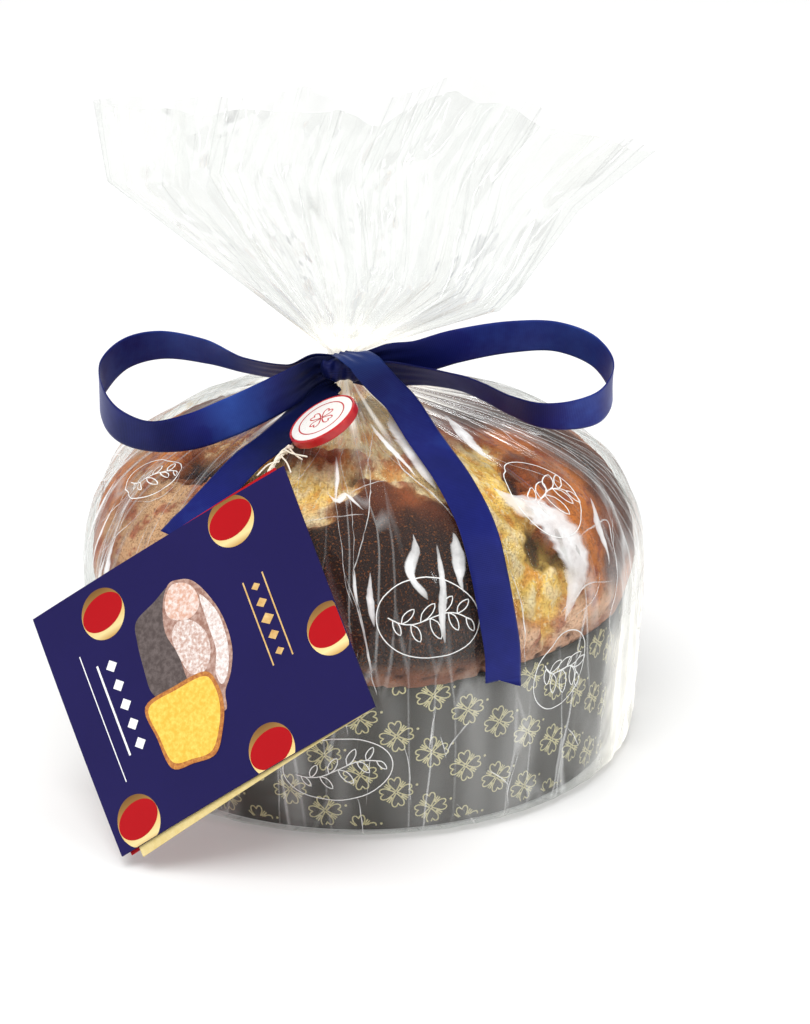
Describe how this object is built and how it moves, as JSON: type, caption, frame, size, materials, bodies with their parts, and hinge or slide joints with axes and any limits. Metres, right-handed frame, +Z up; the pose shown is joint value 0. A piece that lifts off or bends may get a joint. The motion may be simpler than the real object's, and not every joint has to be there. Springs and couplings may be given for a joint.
{
  "type": "offella cake",
  "caption": "Tall round leavened cake in a dark paper case, sealed in a clear film bag gathered by a satin bow, with a hang tag.",
  "frame": {"origin": "middle of the bag's flat base, on the surface it stands on", "axes": "+Z up, -Y towards the front with the tag and the long ribbon tail, +X to the right seen from the front"},
  "size_m": [0.2393, 0.2683, 0.2656],
  "materials": {
    "film": "clear, crinkled",
    "crust": "baked crust, uneven",
    "case_paper": "dark baking paper with a gold pattern",
    "ribbon": "satin",
    "seal_red": "gloss",
    "seal_white": "satin",
    "thread": "twisted cotton",
    "tag_navy": "coated card",
    "tag_gold": "satin foil card",
    "tag_red": "coated card"
  },
  "bodies": {
    "root": {"bag": "film", "ribbon_knot": "ribbon", "ribbon_wrap": "ribbon", "ribbon_loop_left": "ribbon", "ribbon_loop_right": "ribbon", "ribbon_tail_front": "ribbon", "ribbon_tail_left": "ribbon", "seal_cup": "seal_red", "seal_face": "seal_white", "tag_thread": "thread", "tag_cover": "tag_navy", "tag_page": "tag_gold", "tag_back": "tag_red"}
  },
  "joints": []
}
